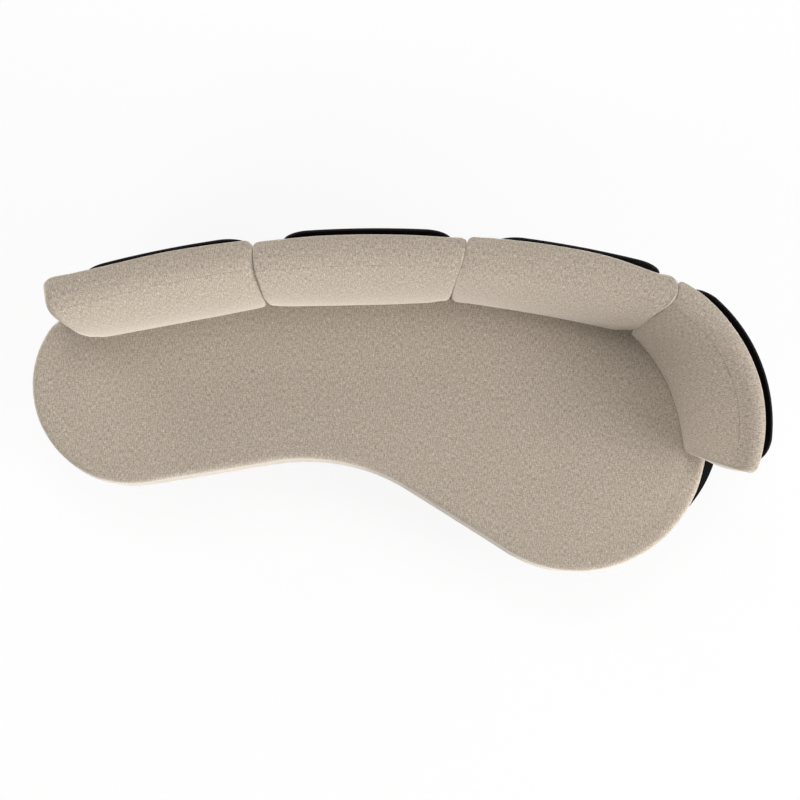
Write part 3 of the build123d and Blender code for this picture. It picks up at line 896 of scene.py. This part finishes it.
def make_cloth():
    """Matte melange cloth: slubs both ways, a fine plain weave, light and dark flecks, painted shade in the seams'
    folds, and a soft nap.
    """
    material, tree, shader = new_material("melange_cloth")
    where = node(tree, "ShaderNodeUVMap", uv_map=WEAVE_MAP).outputs[0]
    turned = node(tree, "ShaderNodeMapping", {"Vector": where, "Rotation": (0, 0, pi / 2),
                                              "Location": WARP_PLACE}).outputs[0]
    weft = streaks(tree, where, SLUB_LENGTH, SLUB_WIDTH)
    warp = streaks(tree, turned, SLUB_LENGTH, SLUB_WIDTH)
    grain = streaks(tree, where, GRAIN_SIZE, GRAIN_SIZE)
    slubs = maths(tree, "ADD", maths(tree, "MULTIPLY", weft, WEFT_SHARE), maths(tree, "MULTIPLY", warp, WARP_SHARE))
    yarns = maths(tree, "ADD", slubs, maths(tree, "MULTIPLY", grain, GRAIN_SHARE))
    tone = ramp(tree, yarns, zip(TONE_STOPS, (CLOTH_DARK, CLOTH_MIDDLE, CLOTH_LIGHT)))
    pale = ramp(tree, streaks(tree, turned, FLECK_SIZE * PALE_LENGTH, FLECK_SIZE, 1.0), zip(PALE_STOPS, (BLACK, WHITE)))
    deep = ramp(tree, streaks(tree, where, FLECK_SIZE * DEEP_LENGTH, FLECK_SIZE, 1.0), zip(DEEP_STOPS, (WHITE, BLACK)))
    tone = mixed(tree, maths(tree, "MULTIPLY", pale, PALE_SHARE), tone, FLECK_LIGHT)
    tone = mixed(tree, maths(tree, "MULTIPLY", deep, DEEP_SHARE), tone, FLECK_DARK)
    # Painted shade: the seams' folds are darkened in the colour, standing in for the shade that falls in them
    painted_seam_shade = node(tree, "ShaderNodeAttribute", attribute_name=SEAM_SHADE).outputs["Fac"]
    tone = mixed(tree, maths(tree, "MULTIPLY", painted_seam_shade, SEAM_SHADE_SHARE), tone, SEAM_SHADE_TONE)
    spread = node(tree, "ShaderNodeSeparateXYZ", {0: where})
    waves = [maths(tree, "SINE", maths(tree, "MULTIPLY", spread.outputs[i], pi / YARN_PITCH)) for i in (0, 1)]
    weave = maths(tree, "MULTIPLY", *waves)
    height = maths(tree, "ADD", maths(tree, "MULTIPLY", weave, WEAVE_HEIGHT),
                   maths(tree, "MULTIPLY", yarns, YARN_HEIGHT))
    bump = node(tree, "ShaderNodeBump", {"Height": height, "Strength": 0.45, "Distance": 0.0012})
    tree.links.new(tone, shader.inputs["Base Color"])
    tree.links.new(bump.outputs[0], shader.inputs["Normal"])
    shader.inputs["Roughness"].default_value = 0.92
    shader.inputs["Specular IOR Level"].default_value = 0.2
    shader.inputs["Sheen Weight"].default_value = 1.0
    shader.inputs["Sheen Roughness"].default_value = 0.45
    shader.inputs["Sheen Tint"].default_value = NAP_TINT
    return material


def make_powder_coat():
    """Fine-textured black powder coat on aluminium."""
    material, tree, shader = new_material("black_powder_coat")
    where = node(tree, "ShaderNodeTexCoord").outputs["Object"]
    grain = node(tree, "ShaderNodeTexNoise", {"Vector": where, "Scale": COAT_GRAIN, "Detail": 2.0}).outputs[0]
    cloud = node(tree, "ShaderNodeTexNoise", {"Vector": where, "Scale": COAT_CLOUD, "Detail": 3.0}).outputs[0]
    tone = ramp(tree, cloud, COAT_TONES)
    low, high = COAT_ROUGHNESS
    rough = node(tree, "ShaderNodeMapRange", {"Value": grain, "To Min": low, "To Max": high}).outputs[0]
    bump = node(tree, "ShaderNodeBump", {"Height": grain, "Strength": 0.18, "Distance": 0.0004})
    tree.links.new(tone, shader.inputs["Base Color"])
    tree.links.new(rough, shader.inputs["Roughness"])
    tree.links.new(bump.outputs[0], shader.inputs["Normal"])
    shader.inputs["Specular IOR Level"].default_value = 0.09
    return material


def make_pad_plastic():
    """Moulded black plastic with a light spark-eroded grain."""
    material, tree, shader = new_material("pad_plastic")
    where = node(tree, "ShaderNodeTexCoord").outputs["Object"]
    grain = node(tree, "ShaderNodeTexVoronoi", {"Vector": where, "Scale": PAD_GRAIN}).outputs[0]
    tone = ramp(tree, grain, PAD_TONES)
    bump = node(tree, "ShaderNodeBump", {"Height": grain, "Strength": 0.2, "Distance": 0.0003})
    tree.links.new(tone, shader.inputs["Base Color"])
    tree.links.new(bump.outputs[0], shader.inputs["Normal"])
    shader.inputs["Roughness"].default_value = 0.6
    return material


def make_bolt_steel():
    """Blackened steel, a little worn bright where a spanner has been."""
    material, tree, shader = new_material("bolt_steel")
    where = node(tree, "ShaderNodeTexCoord").outputs["Object"]
    worn = node(tree, "ShaderNodeTexNoise", {"Vector": where, "Scale": BOLT_WEAR, "Detail": 4.0}).outputs[0]
    tone = ramp(tree, worn, BOLT_TONES)
    tree.links.new(tone, shader.inputs["Base Color"])
    shader.inputs["Metallic"].default_value = 1.0
    shader.inputs["Roughness"].default_value = 0.45
    return material


def dress_frame():
    """Gives the metal, plastic and steel nodes their finishes."""
    finishes = {"floor_pad": make_pad_plastic(), "back_foot_bolts": make_bolt_steel()}
    coat = make_powder_coat()
    for name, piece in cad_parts.items():
        if "cushion" in name:
            continue
        finish = next((made for start, made in finishes.items() if name.startswith(start)), coat)
        piece.data.materials.clear()
        piece.data.materials.append(finish)


def make_floor():
    """A plain white floor that keeps a soft shadow near the sofa and glows white further out."""
    made = bmesh.new()
    bmesh.ops.create_grid(made, x_segments=1, y_segments=1, size=FLOOR_HALF)
    floor = as_object(made, "floor")
    floor.location.z = -FLOOR_DROP
    material, tree, shader = new_material("studio_floor")
    shader.inputs["Base Color"].default_value = FLOOR_TONE
    shader.inputs["Roughness"].default_value = 0.9
    path = node(tree, "ShaderNodeLightPath")
    seen = maths(tree, "MAXIMUM", path.outputs["Is Camera Ray"], path.outputs["Is Glossy Ray"])
    glow = node(tree, "ShaderNodeEmission", {"Color": WHITE, "Strength": 1.0})
    where = node(tree, "ShaderNodeNewGeometry").outputs["Position"]
    away = node(tree, "ShaderNodeVectorMath", {0: where}, operation="LENGTH").outputs["Value"]
    share = node(tree, "ShaderNodeMapRange", {"Value": away, "From Min": FLOOR_FADE[0], "From Max": FLOOR_FADE[1],
                                              "To Min": FLOOR_GLOW, "To Max": 1.0}).outputs[0]
    blend = node(tree, "ShaderNodeMixShader", {"Fac": maths(tree, "MULTIPLY", seen, share),
                                               1: shader.outputs[0], 2: glow.outputs[0]})
    tree.links.new(blend.outputs[0], tree.nodes["Material Output"].inputs["Surface"])
    floor.data.materials.append(material)


def make_light():
    """Large soft lamps, the strongest low and from the front right, with a little even light from all round."""
    world = bpy.data.worlds.new("studio")
    bpy.context.scene.world = world
    world.use_nodes = True
    tree = world.node_tree
    ground = tree.nodes["Background"]
    path = node(tree, "ShaderNodeLightPath")
    seen = maths(tree, "MAXIMUM", path.outputs["Is Camera Ray"], path.outputs["Is Glossy Ray"])
    strength = node(tree, "ShaderNodeMapRange", {"Value": seen, "To Min": WORLD_LEVEL, "To Max": 1.0})
    tree.links.new(strength.outputs[0], ground.inputs["Strength"])
    ground.inputs["Color"].default_value = WHITE
    for name, (bearing, elevation, level) in LAMPS.items():
        lamp = bpy.data.lights.new(name, "AREA")
        lamp.energy = LAMP_POWER * level
        lamp.size = LAMP_SIZE
        across = cos(radians(elevation))
        toward = Vector((across * cos(radians(bearing)), across * sin(radians(bearing)), sin(radians(elevation))))
        holder = bpy.data.objects.new(name, lamp)
        holder.location = LAMP_DISTANCE * toward
        holder.rotation_euler = (-toward).to_track_quat("-Z", "Y").to_euler()
        bpy.context.scene.collection.objects.link(holder)


def make_camera():
    """The camera, looking straight down as it is made."""
    data = bpy.data.cameras.new("camera")
    data.lens = CAMERA_LENS
    data.sensor_width = SENSOR_WIDTH
    camera = bpy.data.objects.new("camera", data)
    camera.location = CAMERA_PLACE
    bpy.context.scene.collection.objects.link(camera)
    bpy.context.scene.camera = camera


bpy.context.scene.view_settings.view_transform = "Standard"
CLOTH = make_cloth()
dress_frame()
for cushion in BACKS:
    dress_back(cushion)
dress_seat()
make_floor()
make_light()
make_camera()
